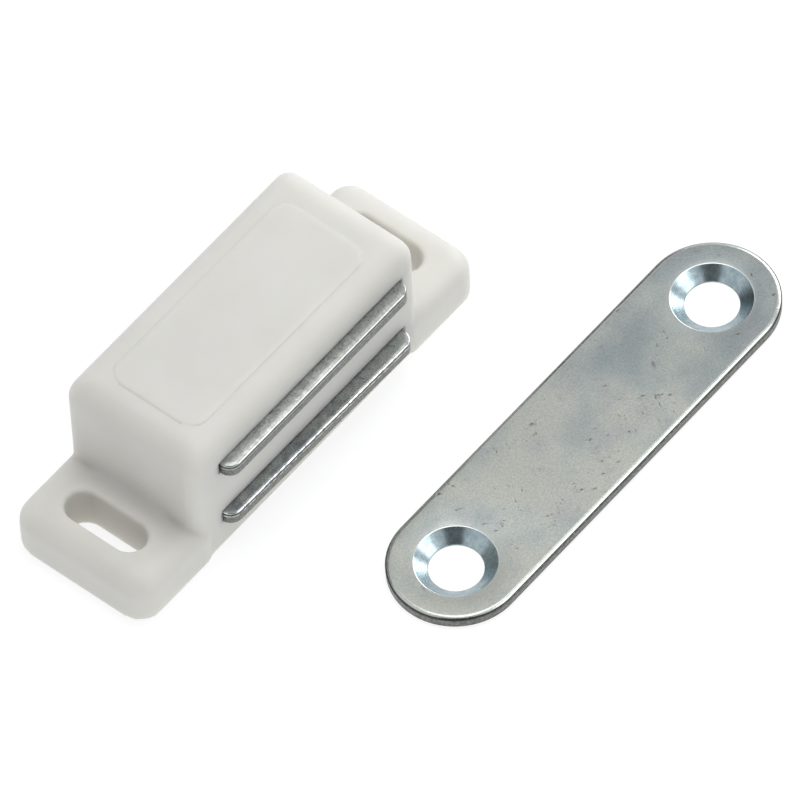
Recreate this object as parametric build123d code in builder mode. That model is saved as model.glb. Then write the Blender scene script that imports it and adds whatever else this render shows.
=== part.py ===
from build123d import *
from math import atan2, degrees
import os

# A magnetic cupboard catch and the steel strike plate that goes on the door.
# Millimetres. The catch lies along X, its pole plates look along -Y, and +Z points
# away from the panel that it is screwed to. The origin is the middle of its mounting face.

# ---- housing: one moulding, a block standing on a base with an ear at each end ----
block_length = 30.4
ear_length = 7.8                # from each end wall of the block to the end of its ear
base_width = 15.0
ear_height = 5.0
base_corner_radius = 2.2
ear_edge_radius = 2.0
housing_height = 15.4
front_setback = 0.25            # the block stands this far inside the ears at the front
rear_setback = 0.2
block_corner_radius = 1.3
top_edge_radius = 2.4
foot_radius = 1.3               # soft corner where the block rises from each ear
screw_slot_length = 8.4
screw_slot_width = 3.15
screw_slot_rim = 0.25           # rounding of a screw slot's upper rim
panel_margin = 3.0              # plain border round the low panel on the top
panel_corner_radius = 1.6
panel_rise = 0.12
front_wall = 1.4

# ---- pole plates and magnet, from the cavity's floor up ----
pack_offset = 0.6               # the plates and magnet sit this far towards +X
pack_floor = 3.3                # height of the cavity's floor
plate_thickness = 1.4
nose_length = 24.6              # the part of a plate that stands out of the front
nose_reach = 1.3
nose_corner_radius = 1.2
nose_edge_radius = 0.35         # rolled edge left by the press
shoulder = 1.2                  # a plate is this much wider inside, at each end
shoulder_corner_radius = 0.6
plate_rear = 4.2                # Y of the plates' rear edge
lower_plate_skew = -0.95        # degrees about Z by which the lower plate lies turned
magnet_length = 26.0
magnet_depth = 8.6
magnet_thickness = 5.6
magnet_setback = 0.3            # from the plates' shoulders back to the magnet
magnet_edge_chamfer = 0.4

# ---- room in which the plates and the magnet float ----
float_gap = 0.55                # along Y, in front of and behind the plates' shoulders
side_gap = 0.16                 # along X, at each end of a plate
top_gap = 0.12                  # along Z, over the upper plate and over each nose
cavity_corner_radius = 0.4
ridge_height = 0.5              # snap ridges in the cavity's ends that keep the pack in
ridge_ramp = 1.6

# ---- strike plate, lying in front of the catch ----
strike_hole_spacing = 35.4
strike_width = 12.26
strike_thickness = 1.12
strike_hole_radius = 2.45
strike_sink_radius = 3.65
strike_hole_land = 0.12         # straight stretch left below each countersink
strike_edge_radius = 0.3
strike_x = 16.0
strike_y = -24.7

# ---- heights and depths worked out from the sizes above ----
base_length = block_length + 2 * ear_length
block_width = base_width - front_setback - rear_setback
block_y = (front_setback - rear_setback) / 2
front_face = -base_width / 2 + front_setback
rear_face = base_width / 2 - rear_setback
ear_inner = block_length / 2 - block_corner_radius
screw_slot_spacing = block_length + ear_length + foot_radius - ear_edge_radius
foot_root = block_length / 2 - foot_radius
foot_run = base_width - 2 * (ear_edge_radius + 2 * foot_radius)
cavity_front = front_face + front_wall
shoulder_front = cavity_front + float_gap
nose_front = front_face - nose_reach
ridge_front = plate_rear + float_gap
magnet_front = shoulder_front + magnet_setback
magnet_bottom = pack_floor + plate_thickness
upper_plate_bottom = magnet_bottom + magnet_thickness
cavity_height = 2 * plate_thickness + magnet_thickness + top_gap
shoulder_length = nose_length + 2 * shoulder
cavity_end = shoulder_length / 2 + side_gap
slot_length = nose_length + 2 * side_gap
slot_height = plate_thickness + top_gap
sink_depth = strike_thickness - strike_hole_land
sink_slope = degrees(atan2(strike_sink_radius - strike_hole_radius, sink_depth))


def edges_at(part, height):
    """The edges of a part that lie level at a height."""
    return part.edges().filter_by_position(Axis.Z, height - 0.001, height + 0.001)


def foot_profile(side, y):
    """The hollow-sided corner between an ear's top and the block's end wall, across the X axis."""
    root = side * foot_root
    wall = side * block_length / 2
    toe = wall + side * foot_radius
    top = ear_height + foot_radius
    bend = foot_radius * (1 - 0.5**0.5)
    with BuildSketch(Plane.XZ.offset(-y)) as profile:
        with BuildLine():
            ThreePointArc((toe, ear_height), (wall + side * bend, ear_height + bend), (wall, top))
            Polyline((wall, top), (root, top), (root, 0), (toe, 0), (toe, ear_height))
        make_face()
    return profile.sketch


# ---- housing ----
with BuildPart() as housing:
    # the base, with soft rims on its ears
    with BuildSketch():
        RectangleRounded(base_length, base_width, base_corner_radius)
    extrude(amount=ear_height)
    fillet(edges_at(housing, ear_height), ear_edge_radius)
    # between the ears the base is no wider than the block
    with BuildSketch():
        Rectangle(2 * ear_inner, 2 * base_width)
        with Locations((0, block_y)):
            Rectangle(2 * ear_inner, block_width, mode=Mode.SUBTRACT)
    extrude(amount=ear_height, mode=Mode.SUBTRACT)
    # the block
    with BuildSketch():
        with Locations((0, block_y)):
            RectangleRounded(block_length, block_width, block_corner_radius)
    extrude(amount=housing_height)
    fillet(edges_at(housing, housing_height), top_edge_radius)
    # soft feet along its end walls, which die out round its corners
    for side in (-1, 1):
        foot_ends = (foot_run / 2, -foot_run / 2)
        extrude(foot_profile(side, foot_ends[0]), amount=foot_run)
        for y in foot_ends:
            revolve(foot_profile(side, y), axis=Axis((side * foot_root, y, 0), (0, 0, 1)))
    # low raised panel on its top
    with BuildSketch(Plane.XY.offset(housing_height)):
        with Locations((0, block_y)):
            RectangleRounded(
                block_length - 2 * panel_margin,
                block_width - 2 * panel_margin,
                panel_corner_radius,
            )
    extrude(amount=panel_rise)
    # long screw holes across the ears
    with BuildSketch():
        with GridLocations(screw_slot_spacing, 0, 2, 1):
            SlotOverall(screw_slot_length, screw_slot_width, rotation=90)
    extrude(amount=ear_height, mode=Mode.SUBTRACT)
    slot_rims = [
        rim
        for rim in edges_at(housing, ear_height)
        if abs(rim.center().Y) < screw_slot_length / 2
        and abs(abs(rim.center().X) - screw_slot_spacing / 2) < screw_slot_width
    ]
    fillet(slot_rims, screw_slot_rim)
    # cavity for the plates and the magnet, open at the rear, with a snap ridge at each end
    with BuildSketch(Plane((pack_offset, 0, pack_floor))):
        with BuildLine():
            half_outline = Polyline(
                (0, cavity_front),
                (cavity_end, cavity_front),
                (cavity_end, ridge_front),
                (cavity_end - ridge_height, ridge_front),
                (cavity_end, ridge_front + ridge_ramp),
                (cavity_end, rear_face),
                (0, rear_face),
            )
            mirror(half_outline, about=Plane.YZ)
        make_face()
        front_corners = vertices().group_by(Axis.Y)[0].sort_by(Axis.X)
        fillet([front_corners[0], front_corners[-1]], cavity_corner_radius)
    extrude(amount=cavity_height, mode=Mode.SUBTRACT)
    # one slot in the front wall for each plate's nose
    for plate_bottom in (pack_floor, upper_plate_bottom):
        with BuildSketch(Plane((pack_offset, 0, plate_bottom))):
            with Locations((0, (front_face + cavity_front) / 2)):
                Rectangle(slot_length, front_wall)
        extrude(amount=slot_height, mode=Mode.SUBTRACT)
housing.part.label = "housing"


# ---- pole plates ----
def pole_plate(bottom, skew):
    """A pressed plate with a nose that stands out of the front and shoulders that stay inside."""
    with BuildPart() as plate:
        with BuildSketch(Plane((pack_offset, 0, bottom)).rotated((0, 0, skew))):
            with Locations((0, (shoulder_front + plate_rear) / 2)):
                RectangleRounded(
                    shoulder_length, plate_rear - shoulder_front, shoulder_corner_radius
                )
            with Locations((0, (nose_front + shoulder_front) / 2)):
                Rectangle(nose_length, shoulder_front - nose_front)
            fillet(vertices().group_by(Axis.Y)[0], nose_corner_radius)
        extrude(amount=plate_thickness)
        front_edge = edges_at(plate, bottom + plate_thickness).sort_by(Axis.Y)[0]
        fillet(front_edge, nose_edge_radius)
    return plate


lower_pole_plate = pole_plate(pack_floor, lower_plate_skew)
lower_pole_plate.part.label = "lower_pole_plate"
upper_pole_plate = pole_plate(upper_plate_bottom, 0)
upper_pole_plate.part.label = "upper_pole_plate"

# ---- magnet ----
with BuildPart() as magnet:
    with BuildSketch(Plane((pack_offset, 0, magnet_bottom))):
        with Locations((0, magnet_front + magnet_depth / 2)):
            Rectangle(magnet_length, magnet_depth)
    extrude(amount=magnet_thickness)
    chamfer(magnet.edges().filter_by(Axis.Z), magnet_edge_chamfer)
magnet.part.label = "magnet"

# ---- strike plate ----
with BuildPart() as strike_plate:
    with BuildSketch(Plane((strike_x, strike_y, 0))):
        SlotCenterToCenter(strike_hole_spacing, strike_width)
    extrude(amount=strike_thickness)
    fillet(edges_at(strike_plate, strike_thickness), strike_edge_radius)
    with Locations((strike_x, strike_y, strike_thickness)):
        with GridLocations(strike_hole_spacing, 0, 2, 1):
            CounterSinkHole(
                strike_hole_radius, strike_sink_radius, counter_sink_angle=2 * sink_slope
            )
strike_plate.part.label = "strike_plate"

os.makedirs("parts", exist_ok=True)
export_step(housing.part, "parts/housing.step")
export_step(magnet.part, "parts/magnet.step")
export_step(lower_pole_plate.part, "parts/lower_pole_plate.step")
export_step(upper_pole_plate.part, "parts/upper_pole_plate.step")
export_step(strike_plate.part, "parts/strike_plate.step")
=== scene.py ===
import math

import bmesh
import bpy
from mathutils import Matrix, Vector


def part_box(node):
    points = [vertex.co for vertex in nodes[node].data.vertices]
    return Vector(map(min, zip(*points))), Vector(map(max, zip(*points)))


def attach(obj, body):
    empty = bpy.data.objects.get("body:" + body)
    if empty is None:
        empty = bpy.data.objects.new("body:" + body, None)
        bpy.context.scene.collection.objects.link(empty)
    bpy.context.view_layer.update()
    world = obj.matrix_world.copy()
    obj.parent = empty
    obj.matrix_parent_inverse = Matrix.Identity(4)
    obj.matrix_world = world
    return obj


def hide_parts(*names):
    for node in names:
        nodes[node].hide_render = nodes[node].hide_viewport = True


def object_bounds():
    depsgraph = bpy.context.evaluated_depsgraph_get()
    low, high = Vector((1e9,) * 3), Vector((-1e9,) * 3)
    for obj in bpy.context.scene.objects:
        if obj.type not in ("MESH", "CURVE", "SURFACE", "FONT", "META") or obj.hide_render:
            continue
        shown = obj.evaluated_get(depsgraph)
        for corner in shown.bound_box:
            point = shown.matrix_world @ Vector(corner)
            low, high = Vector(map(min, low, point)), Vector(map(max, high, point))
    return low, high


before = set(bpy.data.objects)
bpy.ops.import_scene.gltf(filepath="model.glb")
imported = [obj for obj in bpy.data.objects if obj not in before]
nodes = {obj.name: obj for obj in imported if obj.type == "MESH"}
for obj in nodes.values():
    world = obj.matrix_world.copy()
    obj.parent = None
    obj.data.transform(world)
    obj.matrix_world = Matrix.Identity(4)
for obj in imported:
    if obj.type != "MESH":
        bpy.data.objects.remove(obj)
cad_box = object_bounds()

MM = 0.001
UP = Vector((0.0, 0.0, 1.0))
DOWN = -UP
FRONT = Vector((0.0, -1.0, 0.0))
WELD = 0.001 * MM  # corners of loose triangles closer than this are one
SEAM = 0.002 * MM  # ends of a swept strip closer than this are one


# ---- small helpers for node trees ----
def wire(tree, kind, inputs=None, **settings):
    """Adds a node; inputs that are sockets are linked, other values are set."""
    made = tree.nodes.new(kind)
    for name, value in settings.items():
        setattr(made, name, value)
    for name, value in (inputs or {}).items():
        if isinstance(value, bpy.types.NodeSocket):
            tree.links.new(value, made.inputs[name])
        else:
            made.inputs[name].default_value = value
    return made


def arithmetic(tree, operation, first, second=0.0, third=0.0, clamp=False):
    """The result of a Math node."""
    made = wire(tree, "ShaderNodeMath", {0: first, 1: second, 2: third}, operation=operation)
    made.use_clamp = clamp
    return made.outputs[0]


def band(tree, value, start, end, low=0.0, high=1.0):
    """A value that runs smoothly from low to high while its input goes from start to end."""
    made = wire(
        tree,
        "ShaderNodeMapRange",
        {"Value": value, "From Min": start, "From Max": end, "To Min": low, "To Max": high},
        interpolation_type="SMOOTHSTEP",
    )
    return made.outputs["Result"]


def blended(tree, amount, first, second, blend_type="MIX"):
    """The colour of a Mix node."""
    made = tree.nodes.new("ShaderNodeMix")
    made.data_type = "RGBA"
    made.blend_type = blend_type
    for socket, value in ((0, amount), (6, first), (7, second)):
        if isinstance(value, bpy.types.NodeSocket):
            tree.links.new(value, made.inputs[socket])
        else:
            made.inputs[socket].default_value = value
    return made.outputs[2]


def noise(tree, place, scale, detail=2.0, roughness=0.5):
    """Noise from 0 to 1, scale in features per millimetre."""
    made = wire(
        tree,
        "ShaderNodeTexNoise",
        {"Vector": place, "Scale": scale, "Detail": detail, "Roughness": roughness},
    )
    return made.outputs["Fac"]


def bump(tree, height, depth, normal=None):
    """Raises the surface by height times depth, depth in millimetres."""
    inputs = {"Height": height, "Distance": depth * MM, "Strength": 1.0}
    if normal is not None:
        inputs["Normal"] = normal
    return wire(tree, "ShaderNodeBump", inputs).outputs["Normal"]


def finish_material(name, **constants):
    """A material, its tree, its shader and the surface's place in millimetres."""
    material = bpy.data.materials.new(name)
    material.use_nodes = True
    tree = material.node_tree
    surface = tree.nodes["Principled BSDF"]
    for socket, value in constants.items():
        surface.inputs[socket.replace("_", " ")].default_value = value
    coordinates = wire(tree, "ShaderNodeTexCoord").outputs["Object"]
    scaled = wire(tree, "ShaderNodeMapping", {"Vector": coordinates, "Scale": (1 / MM,) * 3})
    return material, tree, surface, scaled.outputs["Vector"]


# ---- finishes ----
def milky_plastic():
    """Moulded white plastic, slightly see-through, with a fine spark-eroded skin."""
    material, tree, surface, place = finish_material(
        "milky_white_plastic",
        Roughness=0.55,
        IOR=1.46,
        Subsurface_Weight=0.8,
        Subsurface_Radius=(1.0, 0.96, 0.82),
        Subsurface_Scale=2.0 * MM,
    )
    cloud = noise(tree, place, 0.16, 3.0)
    tone = blended(
        tree, band(tree, cloud, 0.3, 0.7), (0.665, 0.648, 0.598, 1.0), (0.69, 0.673, 0.623, 1.0)
    )
    speck = noise(tree, place, 3.1, 1.0)
    tone = blended(tree, band(tree, speck, 0.80, 0.84, 0.0, 0.35), tone, (0.45, 0.44, 0.40, 1.0))
    tree.links.new(tone, surface.inputs["Base Color"])
    swell = bump(tree, noise(tree, place, 0.35, 1.0), 0.06)
    skin = bump(tree, noise(tree, place, 7.0, 2.0), 0.006, swell)
    tree.links.new(skin, surface.inputs["Normal"])
    return material


def levelness(tree):
    """The Z of the surface's normal: 1 on a face that looks up, 0 on an upright one."""
    facing = wire(tree, "ShaderNodeNewGeometry").outputs["Normal"]
    return wire(tree, "ShaderNodeSeparateXYZ", {"Vector": facing}).outputs["Z"]


def upright(tree, flat=0.5, steep=0.15):
    """1 on the sheared sides of a plate, 0 on its flat faces. The sides take over between the
    flat and the steep value of the normal's Z."""
    return band(tree, arithmetic(tree, "ABSOLUTE", levelness(tree)), flat, steep)


def rolled(tree, flat=0.95, steep=0.85):
    """1 on the burnished roll between a plate's flat face and its sheared side. It starts as the
    surface tips, from the flat value of the normal's Z to the steep one."""
    level = levelness(tree)
    return arithmetic(
        tree, "MULTIPLY", band(tree, level, flat, steep), band(tree, level, 0.25, 0.45)
    )


def sheared_tone_and_painted_reflection(tree, place, slit):
    """The colour of a sheared side: torn and scuffed below the slit, and above it a near-black
    painted reflection of the dark that burnished metal would mirror.
    """
    height = wire(tree, "ShaderNodeSeparateXYZ", {"Vector": place}).outputs["Z"]
    above = band(tree, height, slit / MM - 0.1, slit / MM)
    scuffed = band(tree, noise(tree, place, 3.5, 4.0, 0.7), 0.35, 0.65)
    torn = blended(tree, scuffed, (0.13, 0.135, 0.126, 1.0), (0.24, 0.245, 0.226, 1.0))
    # painted reflection: above the slit the side is coloured near-black
    return blended(tree, above, torn, (0.055, 0.06, 0.057, 1.0))


def plated_steel(name, slit, roughness, light, dark, edge_tone, lean):
    """Pressed steel with a thin plating, mottled and finely pitted. The lean makes its +X end
    lighter, or darker where it is below nought."""
    material, tree, surface, place = finish_material(name, Metallic=1.0)
    along = wire(tree, "ShaderNodeSeparateXYZ", {"Vector": place}).outputs["X"]
    mottle = arithmetic(
        tree, "MULTIPLY_ADD", band(tree, along, -3.0, 12.0), lean, noise(tree, place, 0.9, 5.0, 0.65)
    )
    tone = blended(tree, band(tree, mottle, 0.35, 0.68), dark, light)
    # the rolled edge takes the edge tone in ragged patches; the lower plate's light edge tone is part
    # painted highlight
    edge = rolled(tree)
    worn = band(tree, noise(tree, place, 1.7, 4.0, 0.7), 0.42, 0.56, 0.12, 1.0)
    tone = blended(tree, arithmetic(tree, "MULTIPLY", edge, worn), tone, edge_tone)
    # the sheared side: torn tones below the slit, a painted dark reflection above it
    tone = blended(tree, upright(tree), tone, sheared_tone_and_painted_reflection(tree, place, slit))
    tree.links.new(tone, surface.inputs["Base Color"])
    polish = band(tree, noise(tree, place, 4.0, 3.0), 0.3, 0.7, roughness - 0.06, roughness + 0.08)
    polish = arithmetic(tree, "MULTIPLY_ADD", edge, -0.16, polish)
    tree.links.new(polish, surface.inputs["Roughness"])
    dents = bump(tree, noise(tree, place, 1.8, 2.0), 0.03)
    pits = bump(tree, noise(tree, place, 9.0, 3.0), 0.006, dents)
    tree.links.new(pits, surface.inputs["Normal"])
    return material


def scuffs(tree, place, angle, seed):
    """Small ragged marks, drawn out at an angle to X, that gather in patches: 1 where deepest."""
    turned = wire(
        tree,
        "ShaderNodeMapping",
        {"Vector": place, "Rotation": (0.0, 0.0, math.radians(angle)), "Location": (seed, 0, 0)},
    ).outputs["Vector"]
    drawn = wire(
        tree, "ShaderNodeMapping", {"Vector": turned, "Scale": (0.55, 1.6, 1.0)}
    ).outputs["Vector"]
    marks = band(tree, noise(tree, drawn, 1.5, 4.0, 0.75), 0.625, 0.675)
    patches = band(tree, noise(tree, turned, 0.20, 1.0), 0.50, 0.60)
    return arithmetic(tree, "MULTIPLY", marks, patches)


def zinc_plate(slit, middle_x):
    """Blue-white zinc plating, scuffed in patches. It is strawish at its -X end, and darker, with
    bluish clouds, towards the other."""
    material, tree, surface, place = finish_material("zinc_plating", Metallic=1.0)
    along = wire(tree, "ShaderNodeSeparateXYZ", {"Vector": place}).outputs["X"]
    # darker and bluer towards +X
    towards_plus_x = band(tree, along, middle_x / MM - 3.0, middle_x / MM + 13.0)
    cloud = arithmetic(
        tree, "MULTIPLY_ADD", towards_plus_x, 0.22, noise(tree, place, 0.16, 3.0, 0.55)
    )
    tone = blended(
        tree, band(tree, cloud, 0.36, 0.60), (0.35, 0.36, 0.33, 1.0), (0.32, 0.342, 0.325, 1.0)
    )
    tone = blended(tree, band(tree, cloud, 0.46, 0.86), tone, (0.225, 0.255, 0.262, 1.0))
    stain = noise(tree, place, 0.45, 5.0, 0.65)
    tone = blended(tree, band(tree, stain, 0.50, 0.75, 0.0, 0.6), tone, (0.275, 0.27, 0.285, 1.0))
    crystals = noise(tree, place, 5.5, 3.0, 0.7)
    tone = blended(
        tree, 1.0, tone, blended(tree, crystals, (0.60, 0.60, 0.60, 1.0), (1.40, 1.40, 1.40, 1.0)),
        "MULTIPLY",
    )
    scuff = arithmetic(
        tree, "MAXIMUM", scuffs(tree, place, 38.0, 11.0), scuffs(tree, place, -62.0, 47.0)
    )
    tone = blended(tree, scuff, tone, (0.12, 0.12, 0.105, 1.0))
    # the roll and the sagged draw beside it are lighter and smoother: part burnished metal, part
    # painted highlight of the bright band along the rim
    burnish_and_painted_sheen = rolled(tree, 0.997, 0.975)
    tone = blended(tree, burnish_and_painted_sheen, tone, (0.45, 0.47, 0.45, 1.0))
    # the sheared side: torn tones below the slit, a painted dark reflection above it
    tone = blended(tree, upright(tree, 0.84, 0.79), tone, sheared_tone_and_painted_reflection(tree, place, slit))
    tree.links.new(tone, surface.inputs["Base Color"])
    tree.links.new(
        arithmetic(tree, "MULTIPLY_ADD", burnish_and_painted_sheen, -0.18, 0.38), surface.inputs["Roughness"]
    )
    grain = bump(tree, crystals, 0.012)
    grain = bump(tree, scuff, -0.02, grain)
    tree.links.new(grain, surface.inputs["Normal"])
    return material


def turned_zinc(lip_height):
    """The machined cone of a countersink: bluer and smoother, with a lighter lip that is part
    burnished metal and part painted highlight.
    """
    material, tree, surface, place = finish_material("turned_zinc", Metallic=1.0, Roughness=0.22)
    streak = noise(tree, place, 1.6, 4.0, 0.6)
    tone = blended(
        tree, band(tree, streak, 0.35, 0.65), (0.26, 0.34, 0.37, 1.0), (0.36, 0.44, 0.47, 1.0)
    )
    height = wire(tree, "ShaderNodeSeparateXYZ", {"Vector": place}).outputs["Z"]
    # painted highlight: the lip is coloured lighter all round, part burnished metal
    lip = band(tree, height, lip_height / MM - 0.02, lip_height / MM)
    tone = blended(tree, lip, tone, (0.56, 0.59, 0.59, 1.0))
    tree.links.new(tone, surface.inputs["Base Color"])
    tree.links.new(bump(tree, streak, 0.008), surface.inputs["Normal"])
    return material


def dark_ferrite():
    """Sintered ferrite, nearly black, with a powdery broken grain."""
    material, tree, surface, place = finish_material("ferrite", Roughness=0.7)
    grain = noise(tree, place, 3.0, 4.0, 0.7)
    tone = blended(
        tree, band(tree, grain, 0.3, 0.7), (0.035, 0.034, 0.033, 1.0), (0.07, 0.067, 0.063, 1.0)
    )
    tree.links.new(tone, surface.inputs["Base Color"])
    tree.links.new(bump(tree, grain, 0.03), surface.inputs["Normal"])
    return material


def coat(piece, material):
    """Gives a piece or a CAD node its material."""
    piece.data.materials.clear()
    piece.data.materials.append(material)


# ---- copies of the frame's nodes ----
def shown(name, mesh, material):
    """Puts a mesh into the scene as a piece."""
    piece = bpy.data.objects.new(name, mesh)
    bpy.context.scene.collection.objects.link(piece)
    if material:
        coat(piece, material)
    return piece


def settled(piece):
    """Replaces a piece's mesh by what its modifiers make of it, and takes them off."""
    graph = bpy.context.evaluated_depsgraph_get()
    mesh = bpy.data.meshes.new_from_object(piece.evaluated_get(graph))
    piece.modifiers.clear()
    piece.data = mesh
    mesh.name = piece.name
    return piece


def welded_copy(node):
    """A bmesh of a node, with its loose triangles joined."""
    copy = bmesh.new()
    copy.from_mesh(nodes[node].data)
    bmesh.ops.remove_doubles(copy, verts=copy.verts, dist=WELD)
    return copy


def face_loops(node, direction, largest=False):
    """The outline and the holes of the outermost (or the largest) flat face that looks in a
    direction, longest first, turning left as seen from outside."""
    copy = welded_copy(node)
    facing = [face for face in copy.faces if face.normal.dot(direction) > 0.99999]
    levels = {}
    for face in facing:
        level = round(face.calc_center_median().dot(direction) / MM, 3)
        levels[level] = levels.get(level, 0.0) + face.calc_area()
    level = max(levels, key=levels.get) if largest else max(levels)
    flat = [
        face for face in facing if abs(face.calc_center_median().dot(direction) / MM - level) < 0.002
    ]
    within = set(flat)
    following = {}
    for face in flat:
        for corner in face.loops:
            if corner.link_loop_radial_next.face not in within:
                following[corner.vert] = corner.link_loop_next.vert
    loops = []
    while following:
        start, vert = following.popitem()
        loop = [start.co.copy()]
        while vert is not start:
            loop.append(vert.co.copy())
            vert = following.pop(vert)
        loops.append(loop)
    copy.free()
    return sorted(loops, key=girth, reverse=True)


def near(point, centre, radius):
    """Whether a point stands on the upright cylinder round a centre."""
    return abs(math.hypot(point.x - centre.x, point.y - centre.y) - radius) < 0.02 * MM


def girth(loop):
    """The length of a closed loop of points."""
    return sum((a - b).length for a, b in zip(loop, loop[1:] + loop[:1]))


# ---- the housing, softened as a moulding is ----
def nose_openings():
    """The two openings in the housing's front wall, each as its low and high corner."""
    openings = []
    for loop in face_loops("housing", FRONT, largest=True)[1:]:
        low = Vector([min(point[axis] for point in loop) for axis in range(3)])
        high = Vector([max(point[axis] for point in loop) for axis in range(3)])
        behind = [
            vert.co.y
            for vert in nodes["housing"].data.vertices
            if abs(vert.co.x - low.x) < 0.01 * MM
            and abs(vert.co.z - low.z) < 0.01 * MM
            and vert.co.y > low.y + 0.1 * MM
        ]
        high.y = min(behind)
        openings.append((low, high))
    return openings


def add_block(target, low, high):
    """Adds a box between two corners to a bmesh."""
    corners = bmesh.ops.create_cube(target, size=1.0)["verts"]
    bmesh.ops.scale(target, vec=high - low, verts=corners)
    bmesh.ops.translate(target, vec=(low + high) / 2, verts=corners)


def add_stack(target, rings):
    """Adds the closed shape that runs up through level rings of points to a bmesh."""
    stack = [[target.verts.new(point) for point in ring] for ring in rings]
    target.faces.new(stack[0][::-1])
    target.faces.new(stack[-1])
    for lower, upper in zip(stack, stack[1:]):
        for number in range(len(lower)):
            beside = (number + 1) % len(lower)
            target.faces.new((lower[number], lower[beside], upper[beside], upper[number]))


def stepped_in(loop, step, height):
    """A level ring that runs inside a loop, which turns left, at a step from it."""
    ring = []
    for before, point, after in zip(loop[-1:] + loop[:-1], loop, loop[1:] + loop[:1]):
        inward = UP.cross((after - point).normalized() + (point - before).normalized())
        inside = point + inward.normalized() * step
        ring.append(Vector((inside.x, inside.y, height)))
    return ring


def mesh_of(name, shape):
    """A mesh made of a bmesh of closed shapes, which is then let go."""
    bmesh.ops.recalc_face_normals(shape, faces=shape.faces)
    mesh = bpy.data.meshes.new(name)
    shape.to_mesh(mesh)
    shape.free()
    return mesh


def worked(target, name, mesh, operation):
    """Adds a shape to an object, or cuts it away."""
    tool = shown(name, mesh, None)
    change = target.modifiers.new(name, "BOOLEAN")
    change.operation = operation
    change.solver = "EXACT"
    change.object = tool
    settled(target)
    bpy.data.objects.remove(tool)


def softened_housing():
    """The housing with its edges rounded as a mould rounds them. Its front wall and its top are
    softened as whole faces first, and the openings for the plates are cut after, so that they
    stay crisp. The low panel goes back on the top a little wider and off the middle, as the
    polished mould leaves it, with a worn edge."""
    openings = nose_openings()
    panel = face_loops("housing", UP)[0]
    rise = panel[0].z
    top = max(
        vert.co.z
        for vert in nodes["housing"].data.vertices
        if vert.co.z < rise - 0.01 * MM and (vert.co.xy - panel[0].xy).length < 0.01 * MM
    )
    shift = Vector((-0.4, -0.3, 0.0)) * MM
    stretch = Matrix.Diagonal((0.98, 1.16, 1.0))
    panel = [stretch @ point + shift for point in panel]
    # the openings are first filled with a margin round them, and then cut right through
    margin = Vector((0.4, 0.0, 0.4)) * MM
    deeper = Vector((0.0, 1.0, 0.0)) * MM
    copy = welded_copy("housing")
    for vert in copy.verts:
        vert.co.z = min(vert.co.z, top)
    bmesh.ops.remove_doubles(copy, verts=copy.verts, dist=WELD)
    opened = bmesh.new()
    for low, high in openings:
        add_block(copy, low - margin, high + margin)
        add_block(opened, low - deeper, high + deeper)
    raised = bmesh.new()
    # the worn panel keeps three quarters of its height, and starts a little inside the top
    worn = top + 0.75 * (rise - top)
    section = ((0.0, top - MM), (0.0, top), (0.2 * MM, top + 0.7 * (worn - top)), (0.5 * MM, worn))
    add_stack(raised, [stepped_in(panel, step, height) for step, height in section])
    housing = shown("moulded_housing", mesh_of("moulded_housing", copy), milky_plastic())
    skin = housing.modifiers.new("skin", "REMESH")
    skin.mode = "VOXEL"
    skin.voxel_size = 0.23 * MM
    skin.use_smooth_shade = True
    settled(housing)
    rim_height = 0.35 * MM
    above = housing.vertex_groups.new(name="above_the_rim")
    lifted = [vert.index for vert in housing.data.vertices if vert.co.z > rim_height]
    above.add(lifted, 1.0, "REPLACE")
    even = housing.modifiers.new("even_rim", "SMOOTH")
    even.use_z = False
    even.vertex_group = above.name
    even.invert_vertex_group = True
    even.iterations = 16
    soft = housing.modifiers.new("soft_edges", "SMOOTH")
    soft.vertex_group = above.name
    soft.factor = 0.5
    soft.iterations = 6
    settled(housing)
    worked(housing, "openings", mesh_of("openings", opened), "DIFFERENCE")
    worked(housing, "panel", mesh_of("panel", raised), "UNION")
    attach(housing, "catch")
    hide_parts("housing")


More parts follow.
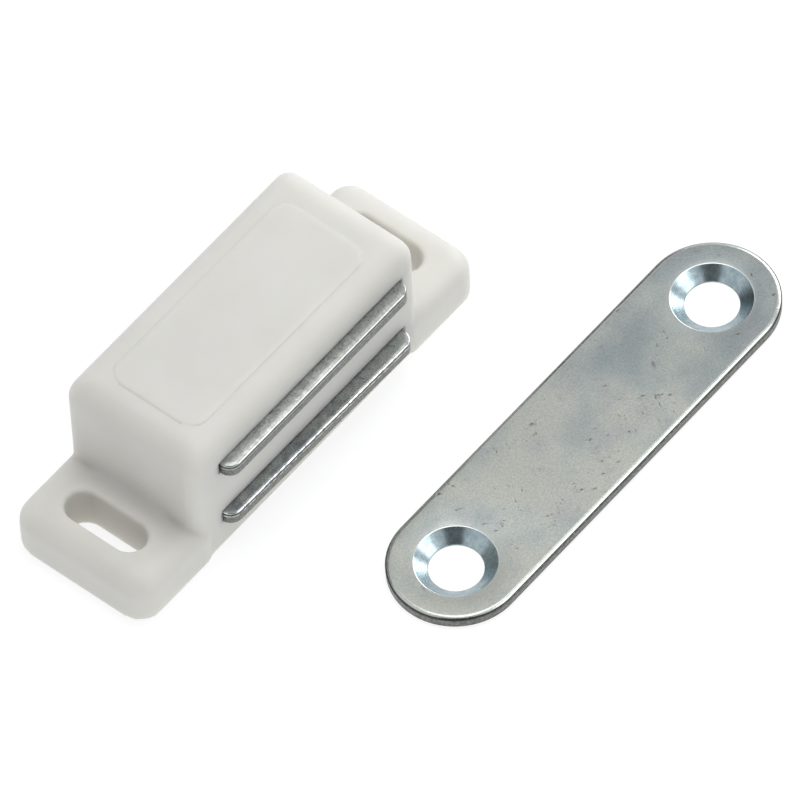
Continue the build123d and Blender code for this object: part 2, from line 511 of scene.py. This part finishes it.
# ---- pressed plates: an outline swept by the section of a sheared edge ----
def edge_sweep_tree():
    """Geometry nodes that sweep a section round a closed outline. The section's X is how far it
    stands back from the outline, its Y is the height, and its Z is how ragged the metal is."""
    tree = bpy.data.node_groups.new("sheared_edge", "GeometryNodeTree")
    face = tree.interface
    face.new_socket("Geometry", in_out="INPUT", socket_type="NodeSocketGeometry")
    face.new_socket("Section", in_out="INPUT", socket_type="NodeSocketObject")
    for name, value in (("Spacing", 0.12 * MM), ("Grain", 3.6 / MM), ("Seed", 0.0)):
        face.new_socket(name, in_out="INPUT", socket_type="NodeSocketFloat").default_value = value
    face.new_socket("Material", in_out="INPUT", socket_type="NodeSocketMaterial")
    face.new_socket("Geometry", in_out="OUTPUT", socket_type="NodeSocketGeometry")
    given = tree.nodes.new("NodeGroupInput").outputs
    outline = wire(tree, "GeometryNodeMeshToCurve", {"Mesh": given["Geometry"]}).outputs["Curve"]
    length = wire(tree, "GeometryNodeCurveLength", {"Curve": outline}).outputs["Length"]
    stations = arithmetic(tree, "CEIL", arithmetic(tree, "DIVIDE", length, given["Spacing"]))
    section = wire(
        tree, "GeometryNodeObjectInfo", {"Object": given["Section"]}
    ).outputs["Geometry"]
    rings = wire(
        tree, "GeometryNodeAttributeDomainSize", {"Geometry": section}, component="MESH"
    ).outputs["Point Count"]
    grid = wire(
        tree,
        "GeometryNodeMeshGrid",
        {"Size X": 1.0, "Size Y": 1.0, "Vertices X": stations, "Vertices Y": rings},
    )
    where = tree.nodes.new("GeometryNodeInputPosition").outputs["Position"]
    along = wire(tree, "ShaderNodeSeparateXYZ", {"Vector": where}).outputs
    share = arithmetic(tree, "ADD", along["X"], 0.5)
    ring = arithmetic(tree, "ADD", along["Y"], 0.5)
    ring = arithmetic(tree, "MULTIPLY", ring, arithmetic(tree, "SUBTRACT", rings, 1.0))
    ring = arithmetic(tree, "ROUND", ring)
    path = wire(
        tree, "GeometryNodeSampleCurve", {"Curves": outline, "Factor": share}, mode="FACTOR"
    )
    path.use_all_curves = True
    outward = wire(
        tree,
        "ShaderNodeVectorMath",
        {0: path.outputs["Tangent"], 1: (0.0, 0.0, 1.0)},
        operation="CROSS_PRODUCT",
    ).outputs["Vector"]
    sample = wire(
        tree,
        "GeometryNodeSampleIndex",
        {"Geometry": section, "Index": ring},
        data_type="FLOAT_VECTOR",
        domain="POINT",
    )
    tree.links.new(where, sample.inputs["Value"])
    profile = wire(tree, "ShaderNodeSeparateXYZ", {"Vector": sample.outputs["Value"]}).outputs
    height = wire(tree, "ShaderNodeCombineXYZ", {"Z": profile["Y"]}).outputs["Vector"]
    spot = wire(
        tree, "ShaderNodeVectorMath", {0: path.outputs["Position"], 1: height}, operation="ADD"
    ).outputs["Vector"]
    ragged = wire(
        tree,
        "ShaderNodeTexNoise",
        {"Vector": spot, "W": given["Seed"], "Scale": given["Grain"], "Detail": 3.0},
        noise_dimensions="4D",
    ).outputs["Fac"]
    back = arithmetic(tree, "MULTIPLY_ADD", ragged, profile["Z"], profile["X"])
    shift = wire(
        tree, "ShaderNodeVectorMath", {0: outward, "Scale": back}, operation="SCALE"
    ).outputs["Vector"]
    spot = wire(
        tree, "ShaderNodeVectorMath", {0: spot, 1: shift}, operation="SUBTRACT"
    ).outputs["Vector"]
    swept = wire(
        tree, "GeometryNodeSetPosition", {"Geometry": grid.outputs["Mesh"], "Position": spot}
    )
    closed = wire(
        tree,
        "GeometryNodeMergeByDistance",
        {"Geometry": swept.outputs["Geometry"], "Distance": SEAM},
    )
    real = wire(tree, "GeometryNodeRealizeInstances", {"Geometry": closed.outputs["Geometry"]})
    coated = wire(
        tree,
        "GeometryNodeSetMaterial",
        {"Geometry": real.outputs["Geometry"], "Material": given["Material"]},
    )
    result = tree.nodes.new("NodeGroupOutput")
    tree.links.new(coated.outputs["Geometry"], result.inputs["Geometry"])
    return tree


def line_mesh(name, points, closed):
    """A mesh that is only a line of edges through points."""
    mesh = bpy.data.meshes.new(name)
    edges = [(i, i + 1) for i in range(len(points) - 1)]
    if closed:
        edges.append((len(points) - 1, 0))
    mesh.from_pydata(points, edges, [])
    return mesh


def rolled_edge(width, top, drop, ragged):
    """Points (stand-back, height, raggedness) down a quarter of an ellipse."""
    steps = 9
    turns = [math.radians(90.0 * step / steps) for step in range(1, steps + 1)]
    return [
        (width * (1 - math.sin(turn)), top - drop * (1 - math.cos(turn)), ragged)
        for turn in turns
    ]


def swept_edge(tree, loop, section, material, seed, spacing):
    """The strip that a section makes round a loop of points at height nought."""
    outline = shown("outline", line_mesh("outline", loop, True), None)
    profile = shown("section", line_mesh("section", section, False), None)
    sweep = outline.modifiers.new("sweep", "NODES")
    sweep.node_group = tree
    chosen = {"Section": profile, "Seed": seed, "Material": material, "Spacing": spacing}
    for item in tree.interface.items_tree:
        if item.in_out == "INPUT" and item.name in chosen:
            sweep[item.identifier] = chosen[item.name]
    settled(outline)
    mesh = outline.data
    bpy.data.objects.remove(outline)
    bpy.data.objects.remove(profile)
    return mesh


def pressed_plate(name, node, body, materials, strips):
    """Closes swept strips with a top and a bottom face and makes the plate a piece. The first
    strip and the faces take the first material, and further strips take the last."""
    low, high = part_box(node)
    plate = bmesh.new()
    for number, strip in enumerate(strips):
        known = len(plate.faces)
        plate.from_mesh(strip)
        plate.faces.ensure_lookup_table()
        for face in plate.faces[known:]:
            face.material_index = min(number, len(materials) - 1)
    bmesh.ops.remove_doubles(plate, verts=plate.verts, dist=SEAM)
    for level in (low.z, high.z):
        rim = [
            edge
            for edge in plate.edges
            if edge.is_boundary and all(abs(v.co.z - level) < 0.02 * MM for v in edge.verts)
        ]
        bmesh.ops.triangle_fill(plate, use_beauty=True, use_dissolve=False, edges=rim)
    bmesh.ops.recalc_face_normals(plate, faces=plate.faces)
    for face in plate.faces:
        face.smooth = True
    mesh = bpy.data.meshes.new(name)
    plate.to_mesh(mesh)
    plate.free()
    piece = shown(name, mesh, None)
    for material in materials:
        mesh.materials.append(material)
    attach(piece, body)
    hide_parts(node)


def sheared_section(low, high, draw, sag, roll, drop, slit_top, slit_bottom, slit_depth, tear):
    """From the top down: the draw of the press, rolled edge, dark slit where the shear let go,
    torn metal and burr. The draw is how far in the top sags, and sag is how much. The rolled
    edge is as wide as roll and as deep as drop."""
    shares = [tenths / 10 for tenths in range(10, -1, -1)]
    lip = 0.03 * MM
    section = [(roll + share * draw, high - sag * (1 - share) ** 2, 0.0) for share in shares]
    section += rolled_edge(roll, high - sag, drop, 0.6 * tear)
    section += [
        (0.0, slit_top, 0.6 * tear),
        (slit_depth, slit_top - lip, 0.5 * tear),
        (slit_depth, slit_bottom + lip, 0.5 * tear),
        (0.2 * slit_depth, slit_bottom, tear),
    ]
    steps = 5
    for step in range(1, steps):
        section.append((0.1 * slit_depth, slit_bottom + (low - slit_bottom) * step / steps, tear))
    section += [(lip, low + lip, 0.0), (3 * lip, low, 0.0), (8 * lip, low, 0.0)]
    return section


def pole_piece(tree, name, node, tones, seed):
    """A pole plate with the rolled top edge and torn side that the press leaves. It has the
    name of the body that it rides on."""
    low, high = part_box(node)
    thickness = high.z - low.z
    slit = low.z + 0.66 * thickness
    section = sheared_section(
        low.z,
        high.z,
        draw=0.30 * MM,
        sag=0.05 * MM,
        roll=0.15 * thickness,
        drop=0.15 * thickness,
        slit_top=slit + 0.05 * thickness,
        slit_bottom=slit - 0.05 * thickness,
        slit_depth=0.07 * MM,
        tear=0.06 * MM,
    )
    material = plated_steel(name + "_steel", slit, 0.3, **tones)
    loop = [Vector((p.x, p.y, 0.0)) for p in face_loops(node, DOWN)[0][::-1]]
    strip = swept_edge(tree, loop, section, material, seed, 0.12 * MM)
    pressed_plate(name, node, name, [material], [strip])


def strike_piece(tree):
    """The strike plate: a sheared outline and two turned sinks, whose walls keep fine grooves and
    whose rims keep a lighter lip, part burnished metal and part painted highlight."""
    low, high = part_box("strike_plate")
    thickness = high.z - low.z
    outer, *holes = [
        [Vector((p.x, p.y, 0.0)) for p in loop[::-1]]
        for loop in face_loops("strike_plate", DOWN)
    ]
    sinks = face_loops("strike_plate", UP)[1:]
    groove = 0.004 * MM
    slit = low.z + 0.70 * thickness
    material = zinc_plate(slit, (low.x + high.x) / 2)
    section = sheared_section(
        low.z,
        high.z,
        draw=0.48 * MM,
        sag=0.22 * MM,
        roll=0.03 * MM,
        drop=0.03 * MM,
        slit_top=slit + 0.07 * thickness,
        slit_bottom=slit - 0.05 * thickness,
        slit_depth=0.14 * MM,
        tear=0.06 * MM,
    )
    strips = [swept_edge(tree, outer, section, material, 3.0, 0.15 * MM)]
    hole_radius = girth(holes[0]) / (2 * math.pi)
    sink_radius = girth(sinks[0]) / (2 * math.pi)
    centre = sum(holes[0], Vector()) / len(holes[0])
    bore = [v.co.z for v in nodes["strike_plate"].data.vertices if near(v.co, centre, hole_radius)]
    lip = 0.05 * MM
    reach = sink_radius - hole_radius
    land = max(bore)
    turns = 9
    steps = 4 * turns
    sunk = [(reach + 2.0 * lip, high.z, 0.0), (reach + lip, high.z - 0.3 * lip, 0.0)]
    for step in range(steps + 1):
        share = 1.0 - step / steps
        ridge = groove * math.cos(2 * math.pi * turns * share)
        sunk.append((reach * share + ridge, land + (high.z - lip - land) * share, groove))
    sunk += [(0.0, land - 0.5 * lip, 0.0), (0.0, low.z + 0.5 * lip, 0.0)]
    sunk += [(lip, low.z, 0.0), (4 * lip, low.z, 0.0)]
    for number, hole in enumerate(holes):
        strips.append(swept_edge(tree, hole, sunk, material, number, 0.15 * MM))
    finishes = [material, turned_zinc(high.z - 0.5 * lip)]
    pressed_plate("strike_face", "strike_plate", "catch", finishes, strips)


softened_housing()
sweep_tree = edge_sweep_tree()
# the lower plate takes darker tones than the upper; its much lighter edge tone is part burnished
# metal, part painted highlight
upper_plate_tones = {
    "light": (0.45, 0.46, 0.44, 1.0),
    "dark": (0.29, 0.30, 0.285, 1.0),
    "edge_tone": (0.38, 0.39, 0.38, 1.0),
    "lean": -0.18,
}
lower_plate_tones = {
    "light": (0.35, 0.37, 0.365, 1.0),
    "dark": (0.19, 0.205, 0.21, 1.0),
    "edge_tone": (0.78, 0.79, 0.77, 1.0),
    "lean": 0.12,
}
pole_piece(sweep_tree, "upper_pole", "upper_pole_plate", upper_plate_tones, 1.0)
pole_piece(sweep_tree, "lower_pole", "lower_pole_plate", lower_plate_tones, 2.0)
strike_piece(sweep_tree)
coat(nodes["magnet"], dark_ferrite())


# ---- floor, light and camera ----
def sight(tree):
    """1 for rays that see the backdrop, straight, in a reflection or through a piece."""
    paths = wire(tree, "ShaderNodeLightPath").outputs
    seen = arithmetic(tree, "ADD", paths["Is Camera Ray"], paths["Is Glossy Ray"])
    return arithmetic(tree, "ADD", seen, paths["Is Transmission Ray"], clamp=True)


def pale_floor():
    """A plain pale floor that shows white to the camera and in reflections, keeps a faint shadow,
    and gives a soft light from below."""
    half = 3.0  # metres from the middle to each edge
    gap = 0.02 * MM  # below the pieces, so that no faces coincide
    mesh = bpy.data.meshes.new("floor")
    corners = [(-half, -half, -gap), (half, -half, -gap), (half, half, -gap), (-half, half, -gap)]
    mesh.from_pydata(corners, [], [(0, 1, 2, 3)])
    floor = bpy.data.objects.new("floor", mesh)
    bpy.context.scene.collection.objects.link(floor)
    material = bpy.data.materials.new("pale_floor")
    material.use_nodes = True
    tree = material.node_tree
    tree.nodes.clear()
    seen = sight(tree)
    matte = wire(tree, "ShaderNodeBsdfDiffuse", {"Color": (0.85, 0.85, 0.85, 1.0)})
    lift = wire(tree, "ShaderNodeEmission", {"Color": daylight, "Strength": floor_lift})
    lit = wire(tree, "ShaderNodeAddShader", {0: matte.outputs[0], 1: lift.outputs[0]})
    faint = wire(tree, "ShaderNodeBsdfDiffuse", {"Color": (0.25, 0.25, 0.25, 1.0)})
    glow = wire(tree, "ShaderNodeEmission", {"Color": (1.0, 1.0, 1.0, 1.0), "Strength": 0.8})
    white = wire(tree, "ShaderNodeAddShader", {0: faint.outputs[0], 1: glow.outputs[0]})
    mixed = wire(
        tree, "ShaderNodeMixShader", {0: seen, 1: lit.outputs[0], 2: white.outputs[0]}
    )
    wire(tree, "ShaderNodeOutputMaterial", {"Surface": mixed.outputs[0]})
    floor.data.materials.append(material)


def studio_air():
    """A soft, even world that is white where it is seen."""
    world = bpy.data.worlds.new("studio_air")
    bpy.context.scene.world = world
    world.use_nodes = True
    tree = world.node_tree
    tree.nodes.clear()
    seen = sight(tree)
    strength = arithmetic(tree, "MULTIPLY_ADD", seen, 1.0 - air_strength, air_strength)
    tint = blended(tree, seen, daylight, (1.0, 1.0, 1.0, 1.0))
    glow = wire(tree, "ShaderNodeBackground", {"Color": tint, "Strength": strength})
    wire(tree, "ShaderNodeOutputWorld", {"Surface": glow.outputs[0]})


def aimed(name, data, centre, aim):
    """An object at a point that looks at another point."""
    holder = bpy.data.objects.new(name, data)
    turn = (aim - centre).to_track_quat("-Z", "Y").to_matrix().to_4x4()
    holder.matrix_world = Matrix.Translation(centre) @ turn
    holder.visible_camera = False
    bpy.context.scene.collection.objects.link(holder)
    return holder


def soft_box(name, direction, aim, distance, size, power):
    """A square area lamp in a direction from the point that it looks at, for matt light only."""
    lamp = bpy.data.lights.new(name, "AREA")
    lamp.size = size
    lamp.energy = power
    lamp.color = daylight[:3]
    holder = aimed(name, lamp, aim + Vector(direction).normalized() * distance, aim)
    holder.visible_glossy = False


def reflected_card(name, direction, aim, distance, width, height, shade):
    """A card, dark or glowing, that only the reflections show."""
    mesh = bpy.data.meshes.new(name)
    x, y = width / 2, height / 2
    mesh.from_pydata([(-x, -y, 0), (x, -y, 0), (x, y, 0), (-x, y, 0)], [], [(0, 1, 2, 3)])
    card = aimed(name, mesh, aim + Vector(direction).normalized() * distance, aim)
    card.visible_diffuse = False
    card.visible_shadow = False
    card.visible_transmission = False
    material = bpy.data.materials.new(name)
    material.use_nodes = True
    tree = material.node_tree
    tree.nodes.clear()
    glow = wire(tree, "ShaderNodeEmission", {"Strength": shade})
    wire(tree, "ShaderNodeOutputMaterial", {"Surface": glow.outputs[0]})
    mesh.materials.append(material)


def view_camera(azimuth, elevation, roll, distance, target, lens):
    """A camera that looks at the target from an azimuth and elevation, turned by a roll."""
    turn, rise, lean = (math.radians(angle) for angle in (azimuth, elevation, roll))
    back = Vector((math.sin(turn) * math.cos(rise), -math.cos(turn) * math.cos(rise), math.sin(rise)))
    right = Vector((math.cos(turn), math.sin(turn), 0.0))
    up = back.cross(right)
    across = math.cos(lean) * right + math.sin(lean) * up
    above = math.cos(lean) * up - math.sin(lean) * right
    camera = bpy.data.objects.new("view_camera", bpy.data.cameras.new("view_camera"))
    camera.matrix_world = (
        Matrix.Translation(target + back * distance)
        @ Matrix((across, above, back)).transposed().to_4x4()
    )
    camera.data.lens = lens
    bpy.context.scene.collection.objects.link(camera)
    bpy.context.scene.camera = camera


daylight = (0.945, 0.965, 1.0, 1.0)
air_strength = 0.45
floor_lift = 0.42
low_corner, high_corner = cad_box
middle = (low_corner + high_corner) / 2
pale_floor()
studio_air()
lamps = (  # name, direction, distance, size, power
    ("key_lamp", (0.80, -0.10, 0.60), 0.15, 0.08, 0.055),
    ("top_lamp", (0.13, 0.12, 0.98), 0.60, 0.35, 1.9),
    ("front_lamp", (0.10, -0.80, 0.60), 0.60, 0.50, 0.34),
)
for name, direction, *values in lamps:
    soft_box(name, direction, middle, *values)
cards = (  # name, direction, distance, width, height, shade
    ("camera_side_card", (-0.50, -0.45, 0.74), 0.5, 0.36, 0.28, 0.16),
    ("rear_card", (0.12, 0.95, 0.20), 0.5, 0.70, 0.25, 0.12),
    ("front_light_card", (0.42, -0.66, 0.60), 0.4, 0.18, 0.30, 3.5),
    ("overhead_card", (0.10, 0.02, 0.99), 0.4, 0.26, 0.26, 2.8),
    ("side_light_card", (0.94, 0.02, 0.28), 0.4, 0.34, 0.18, 4.5),
)
for name, direction, *values in cards:
    reflected_card(name, direction, middle, *values)
view_camera(
    azimuth=-48.016,
    elevation=54.169,
    roll=-3.569,
    distance=1.3868,
    target=Vector((9.229, -9.586, 0.0)) * MM,
    lens=720.0,
)
bpy.context.scene.view_settings.view_transform = "Standard"
